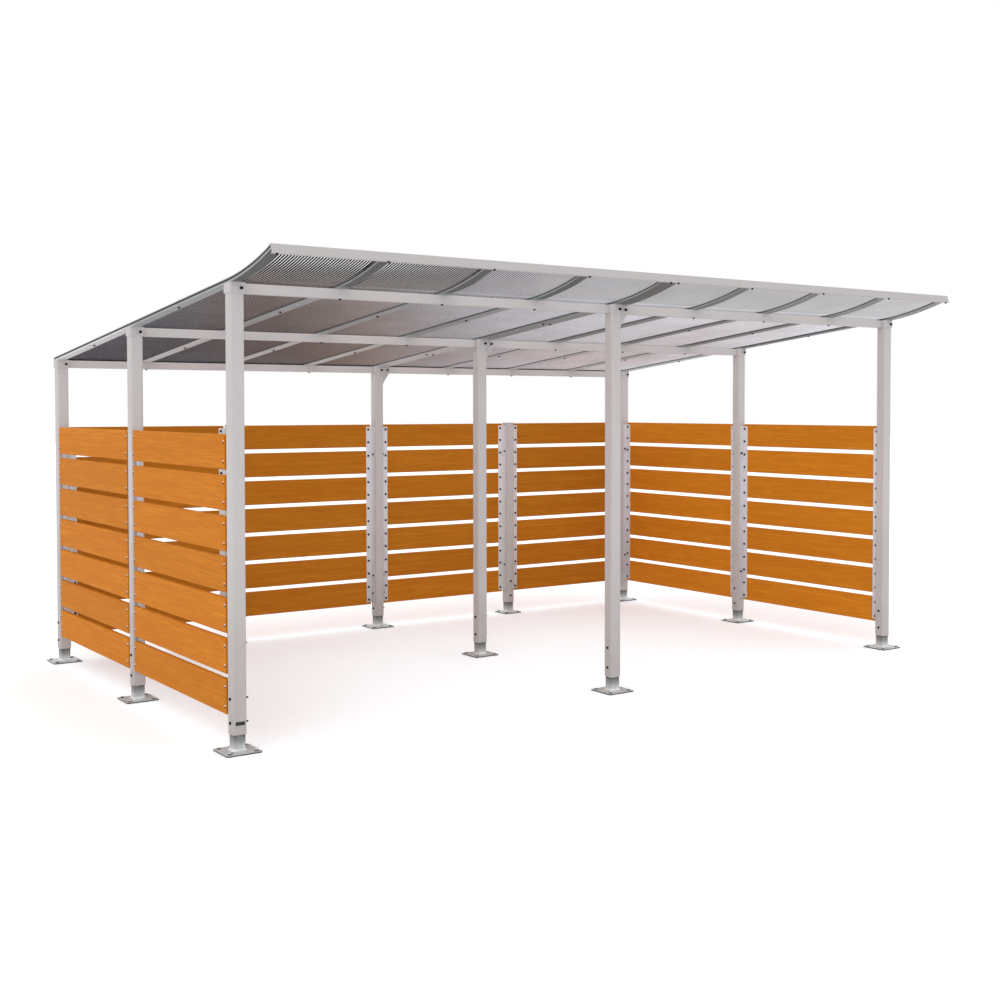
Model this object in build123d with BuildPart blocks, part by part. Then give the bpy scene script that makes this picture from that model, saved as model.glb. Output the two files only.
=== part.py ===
from build123d import *
from math import asin, atan2, cos, degrees, hypot, sin
import os

# Bike shelter of two bays: nine tall posts in three rows, two short posts in the back wall,
# three rows of cross beams, a curved roof of clear sheets between rafters, and slatted walls
# on the left, at the back and on the right. The front is open.
# Sizes are in millimetres. X runs to the right, Y to the back, Z up from the ground.
# The origin is on the ground in the middle of the whole shelter.

# Overall layout
MODULE_WIDTH = 2540.0      # one of the two roof modules, from outer edge to outer edge
ROW_SPACING = 1500.0       # front, middle and back rows of posts, centre to centre
FRONT_OVERHANG = 500.0     # roof in front of the front faces of the front posts
EAVE_HEIGHT = 2085.0       # underside of the rafters over the middle of the back posts
ROW_RISE = 153.0           # how much the roof rises from one row to the next
CURVE_RADIUS = 2200.0      # upswept front of the roof, at the underside of the rafters

# Posts
POST_SIDE = 75.0
POST_WALL = 4.5
POST_CORNER = 12.0
HOLLOW_CHAMFER = 5.0       # corners of the hollow inside a post
POST_BOTTOM = 92.0         # lower end of a post above the ground
HEAD_MARGIN = 4.0          # how far the head of a post stands proud of its tube
HEAD_CHAMFER = 4.0         # upright edges of the head
HEAD_CAP = 4.0             # top plate of the head
SHORT_CAP_HEIGHT = 6.0
SHORT_CAP_MARGIN = 2.0
SHORT_CAP_CHAMFER = 8.0

# Feet
PLATE_SIDE = 195.0
SHORT_PLATE_SIDE = 170.0
PLATE_THICKNESS = 8.0
PLATE_CHAMFER = 9.0
PLATE_HOLE_RADIUS = 7.0
HOLE_EDGE = 26.0           # from the edge of a plate to the middle of its holes
STUB_WALL = 5.0
STUB_CHAMFER = 6.0         # upright edges of the stub, clear of the corners inside the post
STUB_CLEARANCE = 0.3       # between the stub and the inside of the post
STUB_TOP = 330.0
WELD_SIZE = 9.0

# Beams
BEAM_HEIGHT = 50.0
BEAM_DEPTH = 50.0          # the backs of the beams are in line with the backs of the posts
BEAM_WALL = 3.0
HAUNCH_WIDTH = 70.0
HAUNCH_DROP = 115.0
HAUNCH_HOLLOW = 7.0        # how far the curved edge runs inside a straight one
HAUNCH_THICKNESS = 6.0

# Roof layers, from the underside of the rafters upwards
RAFTER_WIDTH = 58.0
RAFTER_THICKNESS = 10.0
SEAL_LIP = 3.0             # thickness of the rubber under the edges of the sheets
LIP_MARGIN = 5.0           # how far the rubber stands out beyond the rafter on each side
SHEET_THICKNESS = 8.0
COVER_THICKNESS = 5.0
SEAL_WIDTH = 20.0          # rubber between the edges of two sheets
INNER_PITCH = 638.0        # between the three middle rafters of a module
TRIM_THICKNESS = 3.0       # strip that closes the back edge of the roof
FASCIA_HEIGHT = 48.0
FASCIA_WALL = 2.5
FASCIA_FLANGE = 32.0
FASCIA_LIP = 12.0
FASCIA_CLEARANCE = 0.3     # between its upper flange and the curved cover strips

# Slatted walls
BOARD_COUNT = 7
BOARD_HEIGHT = 181.0
BOARD_GAP = 29.0
BOARD_THICKNESS = 28.0
BOARD_BOTTOM = 184.0
BOARD_END_GAP = 17.0       # between the end of a board and the post
BRACKET_WIDTH = 58.0       # leg of the bracket behind the boards
BRACKET_DEPTH = 32.0       # leg of the bracket on the side of the post
BRACKET_WALL = 4.0
BRACKET_SHORTER = 18.0     # how far a bracket ends inside the top and bottom board edges

# Places worked out from the driving dimensions
DEPTH_IN_FRONT = FRONT_OVERHANG + POST_SIDE / 2
FRONT_Y = -(2 * ROW_SPACING - DEPTH_IN_FRONT + PLATE_SIDE / 2) / 2
ROW_Y = {"front": FRONT_Y, "middle": FRONT_Y + ROW_SPACING, "back": FRONT_Y + 2 * ROW_SPACING}
COLUMN_X = {
    "left": -MODULE_WIDTH + POST_SIDE / 2,
    "centre": -POST_SIDE / 2,
    "right": MODULE_WIDTH - POST_SIDE / 2,
}
SLOPE = atan2(ROW_RISE, ROW_SPACING)
RISE_OF_ROW = {"front": 2, "middle": 1, "back": 0}
HEAD_SIDE = POST_SIDE + 2 * HEAD_MARGIN
STUB_SIDE = POST_SIDE - 2 * POST_WALL - 2 * STUB_CLEARANCE
BOARD_PITCH = BOARD_HEIGHT + BOARD_GAP
BOARD_TOP = BOARD_BOTTOM + (BOARD_COUNT - 1) * BOARD_PITCH + BOARD_HEIGHT
SHORT_X = {
    "left": (COLUMN_X["left"] + COLUMN_X["centre"]) / 2,
    "right": (COLUMN_X["centre"] + COLUMN_X["right"]) / 2,
}
BACK_EDGE_Y = ROW_Y["back"] + POST_SIDE / 2

os.makedirs("parts", exist_ok=True)


def keep(builder, label):
    """Name a finished piece and write it to its own file."""
    builder.part.label = label
    export_step(builder.part, f"parts/{label}.step")


def square(side, corner_cut, x, y):
    """Square with its corners cut off, drawn in the current sketch."""
    with Locations((x, y)):
        outline = Rectangle(side, side)
    chamfer(outline.vertices(), corner_cut)


def seat_height(row):
    """Height of the underside of the rafters over the middle of a row of posts."""
    return EAVE_HEIGHT + RISE_OF_ROW[row] * ROW_RISE


def seat_plane(row):
    """Plane of the underside of the rafters, through the middle of a row of posts."""
    return Plane(origin=(0, ROW_Y[row], seat_height(row)), z_dir=(0, sin(SLOPE), cos(SLOPE)))


# Posts: a rounded square tube with a closed head, cut off along the slope of the roof
def tall_post(column, row):
    x = COLUMN_X[column]
    y = ROW_Y[row]
    seat = seat_height(row)
    reach = seat + HEAD_SIDE
    with BuildPart() as post:
        with BuildSketch(Plane.XY.offset(POST_BOTTOM)):
            with Locations((x, y)):
                RectangleRounded(POST_SIDE, POST_SIDE, POST_CORNER)
        extrude(amount=reach - POST_BOTTOM)
        with BuildSketch(Plane.XY.offset(seat - BEAM_HEIGHT)):
            square(HEAD_SIDE, HEAD_CHAMFER, x, y)
        extrude(amount=BEAM_HEIGHT + HEAD_SIDE)
        split(bisect_by=seat_plane(row), keep=Keep.BOTTOM)
        hollow_top = seat - HEAD_CAP - HEAD_SIDE / 2 * sin(SLOPE)
        with BuildSketch(Plane.XY.offset(POST_BOTTOM)):
            square(POST_SIDE - 2 * POST_WALL, HOLLOW_CHAMFER, x, y)
        extrude(amount=hollow_top - POST_BOTTOM, mode=Mode.SUBTRACT)
    return post


for row in ROW_Y:
    for column in COLUMN_X:
        keep(tall_post(column, row), f"post_{row}_{column}")


# Short posts carry the boards in the middle of each bay of the back wall
def short_post(side):
    with BuildPart() as post:
        with BuildSketch(Plane.XY.offset(POST_BOTTOM)):
            with Locations((SHORT_X[side], ROW_Y["back"])):
                RectangleRounded(POST_SIDE, POST_SIDE, POST_CORNER)
        extrude(amount=BOARD_TOP - POST_BOTTOM)
        with BuildSketch(Plane.XY.offset(POST_BOTTOM)):
            square(POST_SIDE - 2 * POST_WALL, HOLLOW_CHAMFER, SHORT_X[side], ROW_Y["back"])
        extrude(amount=BOARD_TOP - POST_BOTTOM, mode=Mode.SUBTRACT)
    return post


for side in SHORT_X:
    keep(short_post(side), f"short_post_{side}")

with BuildPart() as short_post_caps:
    for x in SHORT_X.values():
        with BuildSketch(Plane.XY.offset(BOARD_TOP)):
            square(POST_SIDE + 2 * SHORT_CAP_MARGIN, SHORT_CAP_CHAMFER, x, ROW_Y["back"])
        extrude(amount=SHORT_CAP_HEIGHT)
keep(short_post_caps, "short_post_caps")


# Feet: a plate with four bolt holes and a stub tube that slides up into the post
def foot(x, y, plate_side):
    with BuildPart() as piece:
        with BuildSketch():
            square(plate_side, PLATE_CHAMFER, x, y)
        extrude(amount=PLATE_THICKNESS)
        with BuildSketch(Plane.XY.offset(PLATE_THICKNESS)):
            with Locations((x, y)):
                Rectangle(STUB_SIDE + 2 * WELD_SIZE, STUB_SIDE + 2 * WELD_SIZE)
        extrude(amount=WELD_SIZE, taper=45)
        with BuildSketch(Plane.XY.offset(PLATE_THICKNESS)):
            square(STUB_SIDE, STUB_CHAMFER, x, y)
        extrude(amount=STUB_TOP - PLATE_THICKNESS)
        with BuildSketch(Plane.XY.offset(PLATE_THICKNESS)):
            with Locations((x, y)):
                Rectangle(STUB_SIDE - 2 * STUB_WALL, STUB_SIDE - 2 * STUB_WALL)
        extrude(amount=STUB_TOP - PLATE_THICKNESS, mode=Mode.SUBTRACT)
        with BuildSketch():
            with Locations((x, y)):
                spacing = plate_side - 2 * HOLE_EDGE
                with GridLocations(spacing, spacing, 2, 2):
                    Circle(PLATE_HOLE_RADIUS)
        extrude(amount=PLATE_THICKNESS, mode=Mode.SUBTRACT)
    return piece


for row in ROW_Y:
    with BuildPart() as feet:
        for x in COLUMN_X.values():
            add(foot(x, ROW_Y[row], PLATE_SIDE))
        if row == "back":
            for x in SHORT_X.values():
                add(foot(x, ROW_Y[row], SHORT_PLATE_SIDE))
    keep(feet, f"feet_{row}")


# Beams: square tubes between the post heads, with their tops cut to the slope of the roof
BEAM_BACK = POST_SIDE / 2
BEAM_FRONT = BEAM_BACK - BEAM_DEPTH


def beam(row, from_column, to_column):
    start = COLUMN_X[from_column] + HEAD_SIDE / 2
    length = COLUMN_X[to_column] - HEAD_SIDE / 2 - start
    steepness = sin(SLOPE) / cos(SLOPE)
    with BuildPart() as piece:
        with BuildSketch(Plane(origin=(start, ROW_Y[row], seat_height(row)),
                               x_dir=(0, 1, 0), z_dir=(1, 0, 0))):
            with BuildLine():
                Polyline((BEAM_FRONT, -BEAM_HEIGHT), (BEAM_BACK, -BEAM_HEIGHT),
                         (BEAM_BACK, -BEAM_BACK * steepness),
                         (BEAM_FRONT, -BEAM_FRONT * steepness), close=True)
            make_face()
            offset(amount=-BEAM_WALL, kind=Kind.INTERSECTION, mode=Mode.SUBTRACT)
        extrude(amount=length)
    return piece


for row in ROW_Y:
    keep(beam(row, "left", "centre"), f"beam_{row}_left")
    keep(beam(row, "centre", "right"), f"beam_{row}_right")

# Haunches: curved plates in line with the fronts of the beams, on the right of the centre posts
with BuildPart() as beam_haunches:
    for row in ROW_Y:
        corner_x = COLUMN_X["centre"] + POST_SIDE / 2
        corner_z = seat_height(row) - BEAM_HEIGHT
        with BuildSketch(Plane.XZ.offset(-ROW_Y[row] - BEAM_FRONT)):
            with BuildLine():
                top = Line((corner_x, corner_z), (corner_x + HAUNCH_WIDTH, corner_z))
                curve = SagittaArc(top @ 1, (corner_x, corner_z - HAUNCH_DROP), -HAUNCH_HOLLOW)
                Line(curve @ 1, top @ 0)
            make_face()
        extrude(amount=-HAUNCH_THICKNESS)
keep(beam_haunches, "beam_haunches")


# Roof layers follow one line: straight from the back edge to the front posts, then curved up
LIP_LOW = RAFTER_THICKNESS
SHEET_LOW = LIP_LOW + SEAL_LIP
SHEET_HIGH = SHEET_LOW + SHEET_THICKNESS
COVER_HIGH = SHEET_HIGH + COVER_THICKNESS
FASCIA_TOP = COVER_HIGH + FASCIA_CLEARANCE + FASCIA_WALL
FASCIA_BOTTOM = FASCIA_TOP - FASCIA_HEIGHT


def end_pitch():
    """Steepness of the roof at its front edge, where the fascia reaches the full depth."""
    reach = DEPTH_IN_FRONT + CURVE_RADIUS * sin(SLOPE)
    arm = CURVE_RADIUS - FASCIA_BOTTOM
    return asin(reach / hypot(arm, FASCIA_WALL)) - atan2(FASCIA_WALL, arm)


def roof_point(distance_back, height):
    """Point of the straight part: so far behind the front row, so high over the underside."""
    y = FRONT_Y + distance_back * cos(SLOPE) + height * sin(SLOPE)
    z = seat_height("front") - distance_back * sin(SLOPE) + height * cos(SLOPE)
    return (y, z)


def roof_layer(low, high, strips):
    """One layer of the roof, between two heights, as (start x, end x) strips."""
    length = (BACK_EDGE_Y - FRONT_Y) / cos(SLOPE) - TRIM_THICKNESS
    turn = degrees(end_pitch() - SLOPE)
    with BuildPart() as layer:
        for start_x, end_x in strips:
            with BuildSketch(Plane.YZ.offset(start_x)):
                with BuildLine():
                    below = Line(roof_point(length, low), roof_point(0, low))
                    sweep_low = JernArc(below @ 1, below % 1, CURVE_RADIUS - low, -turn)
                    above = Line(roof_point(length, high), roof_point(0, high))
                    sweep_high = JernArc(above @ 1, above % 1, CURVE_RADIUS - high, -turn)
                    Line(below @ 0, above @ 0)
                    Line(sweep_low @ 1, sweep_high @ 1)
                make_face()
            extrude(amount=end_x - start_x)
    return layer


def rafter_centres(module_start):
    first = module_start + RAFTER_WIDTH / 2
    last = module_start + MODULE_WIDTH - RAFTER_WIDTH / 2
    middle = (first + last) / 2
    return [first, middle - INNER_PITCH, middle, middle + INNER_PITCH, last]


for side, module_start in (("left", -MODULE_WIDTH), ("right", 0.0)):
    module_end = module_start + MODULE_WIDTH
    centres = rafter_centres(module_start)
    bars = [(x - RAFTER_WIDTH / 2, x + RAFTER_WIDTH / 2) for x in centres]
    sheets = [(a + SEAL_WIDTH / 2, b - SEAL_WIDTH / 2) for a, b in zip(centres, centres[1:])]
    lips = [(max(a - LIP_MARGIN, module_start), min(b + LIP_MARGIN, module_end)) for a, b in bars]
    core_starts = [module_start] + [b for a, b in sheets]
    core_ends = [a for a, b in sheets] + [module_end]
    with BuildPart() as seals:
        add(roof_layer(LIP_LOW, SHEET_LOW, lips))
        add(roof_layer(SHEET_LOW, SHEET_HIGH, zip(core_starts, core_ends)))
    keep(roof_layer(0, RAFTER_THICKNESS, bars), f"rafters_{side}")
    keep(seals, f"seals_{side}")
    keep(roof_layer(SHEET_HIGH, COVER_HIGH, bars), f"cover_strips_{side}")
    keep(roof_layer(SHEET_LOW, SHEET_HIGH, sheets), f"roof_sheets_{side}")


# Fascia: a folded channel over the front ends of the rafters, sheets and cover strips
def fascia(module_end):
    pitch = end_pitch()
    centre_y = FRONT_Y + CURVE_RADIUS * sin(SLOPE)
    centre_z = seat_height("front") + CURVE_RADIUS * cos(SLOPE)
    end_y = centre_y - CURVE_RADIUS * sin(pitch)
    end_z = centre_z - CURVE_RADIUS * cos(pitch)
    end = Plane(origin=(module_end, end_y, end_z), x_dir=(0, -cos(pitch), sin(pitch)),
                z_dir=(-1, 0, 0))
    top = FASCIA_TOP
    bottom = FASCIA_BOTTOM
    with BuildPart() as piece:
        with BuildSketch(end):
            with BuildLine():
                Polyline((-FASCIA_FLANGE, top - FASCIA_WALL), (-FASCIA_FLANGE, top),
                         (FASCIA_WALL, top), (FASCIA_WALL, bottom), (-FASCIA_LIP, bottom),
                         (-FASCIA_LIP, bottom + FASCIA_WALL), (0, bottom + FASCIA_WALL),
                         (0, top - FASCIA_WALL), close=True)
            make_face()
        extrude(amount=MODULE_WIDTH)
    return piece


keep(fascia(0.0), "fascia_left")
keep(fascia(MODULE_WIDTH), "fascia_right")


# Back trim: a thin strip over the back ends of the roof layers
def back_trim(module_start):
    length = (BACK_EDGE_Y - FRONT_Y) / cos(SLOPE)
    with BuildPart() as piece:
        with BuildSketch(Plane.YZ.offset(module_start)):
            with BuildLine():
                Polyline(roof_point(length - TRIM_THICKNESS, 0), roof_point(length, 0),
                         roof_point(length, COVER_HIGH),
                         roof_point(length - TRIM_THICKNESS, COVER_HIGH), close=True)
            make_face()
        extrude(amount=MODULE_WIDTH)
    return piece


keep(back_trim(-MODULE_WIDTH), "back_trim_left")
keep(back_trim(0.0), "back_trim_right")

# Slatted panels: seven level boards between two posts
BOARD_LEVELS = [BOARD_BOTTOM + BOARD_HEIGHT / 2 + n * BOARD_PITCH for n in range(BOARD_COUNT)]


def panel(centre_x, centre_y, size_x, size_y):
    with BuildPart() as boards:
        with Locations([(centre_x, centre_y, z) for z in BOARD_LEVELS]):
            Box(size_x, size_y, BOARD_HEIGHT)
    return boards


side_length = ROW_SPACING - POST_SIDE - 2 * BOARD_END_GAP
side_x = MODULE_WIDTH - BOARD_THICKNESS / 2
for name, first_row in (("front", "front"), ("back", "middle")):
    y = ROW_Y[first_row] + ROW_SPACING / 2
    keep(panel(-side_x, y, BOARD_THICKNESS, side_length), f"left_panel_{name}")
    keep(panel(side_x, y, BOARD_THICKNESS, side_length), f"right_panel_{name}")

back_posts = [COLUMN_X["left"], SHORT_X["left"], COLUMN_X["centre"], SHORT_X["right"],
              COLUMN_X["right"]]
back_board_y = BACK_EDGE_Y - BOARD_THICKNESS / 2
for number, (a, b) in enumerate(zip(back_posts, back_posts[1:]), 1):
    length = b - a - POST_SIDE - 2 * BOARD_END_GAP
    keep(panel((a + b) / 2, back_board_y, length, BOARD_THICKNESS), f"back_panel_{number}")


# Brackets: angles on the sides of the posts, with the board ends bolted to them
def bracket(corner, along, inward):
    """Angle from the corner where the post face meets the inner face of the boards."""
    bottom = BOARD_BOTTOM + BRACKET_SHORTER
    height = BOARD_TOP - BRACKET_SHORTER - bottom
    place = Plane(origin=(corner[0], corner[1], bottom), x_dir=along,
                  z_dir=(0, 0, 1))
    side = 1 if place.y_dir.dot(Vector(inward)) > 0 else -1
    with BuildPart() as piece:
        with BuildSketch(place):
            with BuildLine():
                Polyline((0, 0), (BRACKET_WIDTH, 0), (BRACKET_WIDTH, side * BRACKET_WALL),
                         (BRACKET_WALL, side * BRACKET_WALL),
                         (BRACKET_WALL, side * BRACKET_DEPTH), (0, side * BRACKET_DEPTH),
                         close=True)
            make_face()
        extrude(amount=height)
    return piece


inner_x = MODULE_WIDTH - BOARD_THICKNESS
for wall, sign in (("left", -1), ("right", 1)):
    with BuildPart() as brackets:
        for first_row in ("front", "middle"):
            near = ROW_Y[first_row] + POST_SIDE / 2
            far = ROW_Y[first_row] + ROW_SPACING - POST_SIDE / 2
            add(bracket((sign * inner_x, near), (0, 1, 0), (-sign, 0, 0)))
            add(bracket((sign * inner_x, far), (0, -1, 0), (-sign, 0, 0)))
    keep(brackets, f"{wall}_wall_brackets")

inner_y = BACK_EDGE_Y - BOARD_THICKNESS
with BuildPart() as back_wall_brackets:
    for a, b in zip(back_posts, back_posts[1:]):
        add(bracket((a + POST_SIDE / 2, inner_y), (1, 0, 0), (0, -1, 0)))
        add(bracket((b - POST_SIDE / 2, inner_y), (-1, 0, 0), (0, -1, 0)))
keep(back_wall_brackets, "back_wall_brackets")
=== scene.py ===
# %% [markdown]
# # A bike shelter with slatted walls and a curved clear roof
# The building frame comes from the CAD model: posts, beams, rafters, cover strips and brackets
# already stand where they belong. This script adds what the eye looks for on the real shelter:
# wooden boards with grain and eased edges, ribbed roof sheets, galvanised feet, and all the bolts
# and nuts that hold it together.

# %% Load the frame
import math
import random

import bmesh
import bpy
from mathutils import Matrix, Vector


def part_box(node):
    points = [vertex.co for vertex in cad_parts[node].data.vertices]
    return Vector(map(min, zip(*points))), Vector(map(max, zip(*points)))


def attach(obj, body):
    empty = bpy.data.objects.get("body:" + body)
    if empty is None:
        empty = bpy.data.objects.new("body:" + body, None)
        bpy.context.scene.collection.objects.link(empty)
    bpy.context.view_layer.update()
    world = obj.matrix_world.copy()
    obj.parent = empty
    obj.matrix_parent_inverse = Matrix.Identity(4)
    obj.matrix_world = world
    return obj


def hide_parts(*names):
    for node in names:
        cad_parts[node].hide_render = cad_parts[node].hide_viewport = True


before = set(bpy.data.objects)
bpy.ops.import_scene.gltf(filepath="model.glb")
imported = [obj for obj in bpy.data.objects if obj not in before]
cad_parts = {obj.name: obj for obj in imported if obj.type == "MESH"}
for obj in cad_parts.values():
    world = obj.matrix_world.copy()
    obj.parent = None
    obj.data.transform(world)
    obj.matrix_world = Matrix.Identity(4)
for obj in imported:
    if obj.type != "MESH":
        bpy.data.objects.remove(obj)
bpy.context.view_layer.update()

print("nodes in the frame:", len(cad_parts))

# %% [markdown]
# ## Sizes read from the frame
# Every place in this script is worked out from the frame's own boxes, so the added pieces stay
# on the posts, beams and rafters that carry them. One millimetre is a handy unit for the small
# hardware, because bolts and sheets are sold in millimetres.

# %% Sizes read from the frame
MM = 0.001
ROWS = ("front", "middle", "back")
COLUMNS = ("left", "centre", "right")
SIDES = ("left", "right")


def middle_of(name, axis):
    """Middle of a node's box along one axis."""
    return sum(getattr(corner, axis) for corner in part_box(name)) / 2


short_low, short_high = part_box("short_post_left")
POST = short_high.x - short_low.x
HALF_POST = POST / 2
POST_FOOT = short_low.z

head_low, head_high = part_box("post_front_left")
HALF_HEAD = (head_high.x - head_low.x) / 2

row_y = {row: middle_of(f"post_{row}_left", "y") for row in ROWS}
column_x = {column: middle_of(f"post_front_{column}", "x") for column in COLUMNS}
short_x = {side: middle_of(f"short_post_{side}", "x") for side in SIDES}

drop = head_high.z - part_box("post_back_left")[1].z
SLOPE = math.atan2(drop, row_y["back"] - row_y["front"])
seat_z = {row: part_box(f"post_{row}_left")[1].z - HALF_HEAD * math.tan(SLOPE) for row in ROWS}

beam_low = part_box("beam_front_left")[0]
BEAM_FRONT = beam_low.y - row_y["front"]
BEAM_BOTTOM = seat_z["front"] - beam_low.z

print("rows at", {row: round(y, 4) for row, y in row_y.items()})
print("columns at", {column: round(x, 4) for column, x in column_x.items()})
print("roof slope in degrees:", round(math.degrees(SLOPE), 3))

# %% [markdown]
# ## The line of the roof
# The roof runs straight down to the back and sweeps up in front of the first row of posts on a
# radius of 2.2 m. Sheets, bolts and everything else on the roof follow the same line, so one
# function gives a point by its distance behind the front posts and its height over the rafters'
# underside.

# %% The line of the roof
SWEEP_RADIUS = 2.2
RAFTER_WIDTH = 58 * MM
RAFTER_THICK = 10 * MM
INNER_PITCH = 638 * MM
LIP_THICK = 3 * MM
SHEET_THICK = 8 * MM
COVER_THICK = 5 * MM
SHEET_LOW = RAFTER_THICK + LIP_THICK
SHEET_HIGH = SHEET_LOW + SHEET_THICK
COVER_HIGH = SHEET_HIGH + COVER_THICK

roof_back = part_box("rafters_left")[1].y
ROOF_LENGTH = (roof_back - row_y["front"]) / math.cos(SLOPE) - RAFTER_THICK * math.tan(SLOPE)


def roof_frame(behind):
    """Point on the rafters' underside and the roof's own upward direction there."""
    turn = SLOPE if behind >= 0 else SLOPE - behind / SWEEP_RADIUS
    up = Vector((0, math.sin(turn), math.cos(turn)))
    start = Vector((0, row_y["front"], seat_z["front"]))
    if behind >= 0:
        return start + behind * Vector((0, math.cos(SLOPE), -math.sin(SLOPE))), up
    centre = start + SWEEP_RADIUS * Vector((0, math.sin(SLOPE), math.cos(SLOPE)))
    return centre - SWEEP_RADIUS * up, up


def on_roof(x, behind, height):
    """Point across the roof, along it and above it."""
    point, up = roof_frame(behind)
    return Vector((x, 0, 0)) + point + height * up


def distance_in_front(y, height):
    """How far along the roof, in front of the first posts, a point at this y lies."""
    centre_y = row_y["front"] + SWEEP_RADIUS * math.sin(SLOPE)
    return SWEEP_RADIUS * (math.asin((centre_y - y) / (SWEEP_RADIUS - height)) - SLOPE)


FRONT_REACH = distance_in_front(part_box("roof_sheets_left")[0].y, SHEET_LOW)
print("roof behind and in front of the first posts:", round(ROOF_LENGTH, 3), round(FRONT_REACH, 3))

rafter_x = {}
for side in SIDES:
    start, end = [corner.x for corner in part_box(f"rafters_{side}")]
    middle = (start + end) / 2
    rafter_x[side] = [start + RAFTER_WIDTH / 2, middle - INNER_PITCH, middle,
                      middle + INNER_PITCH, end - RAFTER_WIDTH / 2]
    print(side, "rafters at", [round(x, 3) for x in rafter_x[side]])

# %% [markdown]
# ## The camera
# The picture was taken from the front left, a little above eye level of a grown person, with an
# ordinary lens. The camera stands about 6.4 m in front of the first posts, looks 36 degrees to
# the right and very slightly down.

# %% The camera
SENSOR_WIDTH = 36
LENS_SHARE = 1.32738
LOOK_DOWN = 0.0304
LOOK_RIGHT = 0.6298
camera_data = bpy.data.cameras.new("camera")
camera = bpy.data.objects.new("camera", camera_data)
bpy.context.scene.collection.objects.link(camera)
bpy.context.scene.camera = camera
camera.location = (-5.1983, -7.6719, 1.7624)
camera.rotation_euler = (math.pi / 2 - LOOK_DOWN, 0, -LOOK_RIGHT)
camera_data.sensor_width = SENSOR_WIDTH
camera_data.lens = SENSOR_WIDTH * LENS_SHARE
camera_data.shift_x = -0.04706
camera_data.shift_y = -0.05231
bpy.context.scene.view_settings.view_transform = "Standard"
print("camera stands", round(camera.location.xy.length, 2), "m from the middle of the shelter")

# %% [markdown]
# ## Helpers for finishes
# A finish is a small net of nodes: patterns, sums and blends that end in a colour, a roughness
# and a fine relief. Each helper adds one node and gives back its output, so that a finish reads
# from top to bottom. A colour may be written as on a paint card, such as #c4bebd, and a pattern
# is given by its real size.

# %% Helpers for finishes
WHITE = "#ffffff"


def to_linear(colour):
    """Turn a written colour into the numbers that the renderer works with."""
    parts = [int(colour[i:i + 2], 16) / 255 for i in (1, 3, 5)]
    return [c / 12.92 if c <= 0.04045 else ((c + 0.055) / 1.055) ** 2.4 for c in parts] + [1.0]


def join(tree, made, inputs):
    """Link each input to another node's output, or set it to a number or a written colour."""
    for name, value in inputs.items():
        if isinstance(value, bpy.types.NodeSocket):
            tree.links.new(value, made.inputs[name])
        else:
            made.inputs[name].default_value = to_linear(value) if isinstance(value, str) else value


def node(tree, kind, inputs=None, **settings):
    """Add a node, choose its options, and join or set its inputs."""
    made = tree.nodes.new(kind)
    for name, value in settings.items():
        setattr(made, name, value)
    join(tree, made, inputs or {})
    return made


def calc(tree, operation, first, second=0.5):
    """One step of arithmetic."""
    return node(tree, "ShaderNodeMath", {0: first, 1: second}, operation=operation).outputs[0]


def remap(tree, value, low=0.0, high=1.0, start=0.0, end=1.0):
    """Carry a value from low..high over to start..end, and hold it there at both ends."""
    return node(tree, "ShaderNodeMapRange", {"Value": value, "From Min": low, "From Max": high,
                                             "To Min": start, "To Max": end}).outputs[0]


def mix(tree, share, first, second, blend="MIX"):
    """Blend two colours, from all of the first at 0 to all of the second at 1."""
    return node(tree, "ShaderNodeMix", {"Factor": share, "A": first, "B": second},
                data_type="RGBA", blend_type=blend).outputs["Result"]


def split(tree, vector):
    """The X, Y and Z of a place or a direction."""
    return node(tree, "ShaderNodeSeparateXYZ", {"Vector": vector}).outputs


def per(size):
    """Scale of a pattern that repeats about once in this many metres."""
    return 1.0 / size


def noise(tree, place, size, detail, **more):
    """Cloudy pattern with clouds of about this size."""
    return node(tree, "ShaderNodeTexNoise", {"Vector": place, "Scale": per(size),
                                             "Detail": detail, **more}).outputs["Fac"]


def relief(tree, height, strength, depth):
    """Fine bumps where a pattern is high."""
    return node(tree, "ShaderNodeBump", {"Height": height, "Strength": strength,
                                         "Distance": depth}).outputs[0]


def ramp(tree, value, stops):
    """Colours at given places, in rising order, blended evenly from one to the next."""
    low, high = stops[0][0], stops[-1][0]
    made = node(tree, "ShaderNodeValToRGB", {"Fac": remap(tree, value, low, high)})
    points = made.color_ramp.elements
    points[0].color = to_linear(stops[0][1])
    points[1].color = to_linear(stops[-1][1])
    for place, colour in stops[1:-1]:
        points.new((place - low) / (high - low)).color = to_linear(colour)
    return made.outputs["Color"]


def start_material(name):
    """A new finish: its net of nodes, the place of each point, and the shader that ends it."""
    material = bpy.data.materials.new(name)
    material.use_nodes = True
    tree = material.node_tree
    tree.nodes.clear()
    place = node(tree, "ShaderNodeTexCoord").outputs["Object"]
    shader = node(tree, "ShaderNodeBsdfPrincipled")
    node(tree, "ShaderNodeOutputMaterial", {"Surface": shader.outputs[0]})
    return material, tree, place, shader


print("colour #c4bebd as light:", [round(c, 3) for c in to_linear("#c4bebd")[:3]])

# %% [markdown]
# ## Floor and light
# A plain pale floor catches the soft shadows of the feet and walls, and seen directly it is lifted
# a little so that it runs into the white behind it. The sky is an even white dome, as under a
# light tent, and one wide soft lamp from the front left gives the posts a lighter and a darker
# side.

# %% Floor and light
SKY_STRENGTH = 0.95
BACKDROP_STRENGTH = 1.0
LAMP_STRENGTH = 0.45
LAMP_WIDTH = math.radians(40)
LAMP_DIRECTION = Vector((0.75, 0.55, -0.75))
FLOOR_REACH = 60
FLOOR_GAP = 0.5 * MM
FLOOR_LIFT = 0.22


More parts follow.
